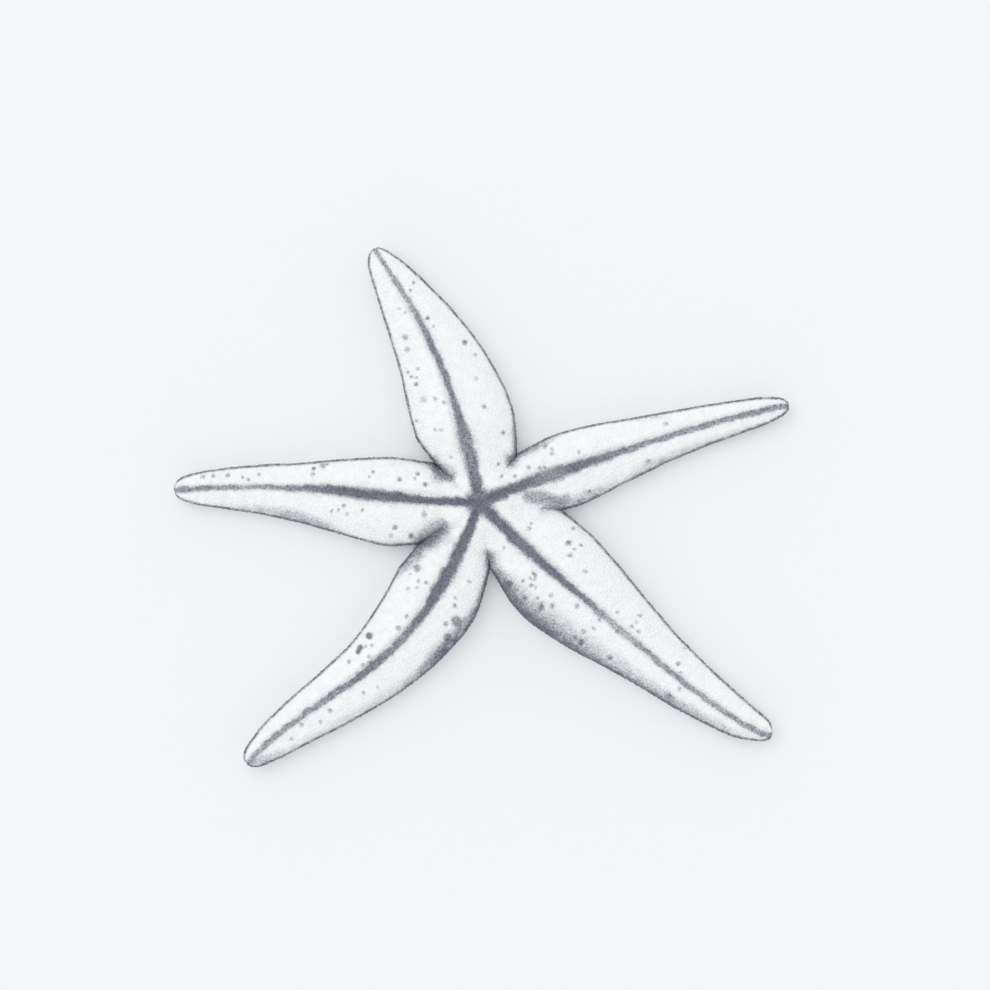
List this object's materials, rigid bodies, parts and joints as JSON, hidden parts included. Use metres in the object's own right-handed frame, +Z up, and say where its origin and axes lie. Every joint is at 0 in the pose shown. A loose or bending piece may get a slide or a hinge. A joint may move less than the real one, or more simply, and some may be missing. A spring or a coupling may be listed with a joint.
{
  "type": "dried starfish",
  "caption": "Dried starfish lying flat: slender tapering arms with a furrow along each, grown from a small disc, with open grooves and a mouth below.",
  "frame": {"origin": "middle of the bounding box seen from above, at the height of the surface that the starfish lies on", "axes": "+Z up out of the upper side; +X across the widest span, from the tip of the left arm to the tip of the right one; +Y towards the shortest arm"},
  "size_m": [0.13, 0.1096, 0.0098],
  "materials": {
    "skin": "matte",
    "spines": "matte",
    "tube_feet": "satin"
  },
  "bodies": {
    "root": {"starfish": "skin"}
  },
  "joints": []
}
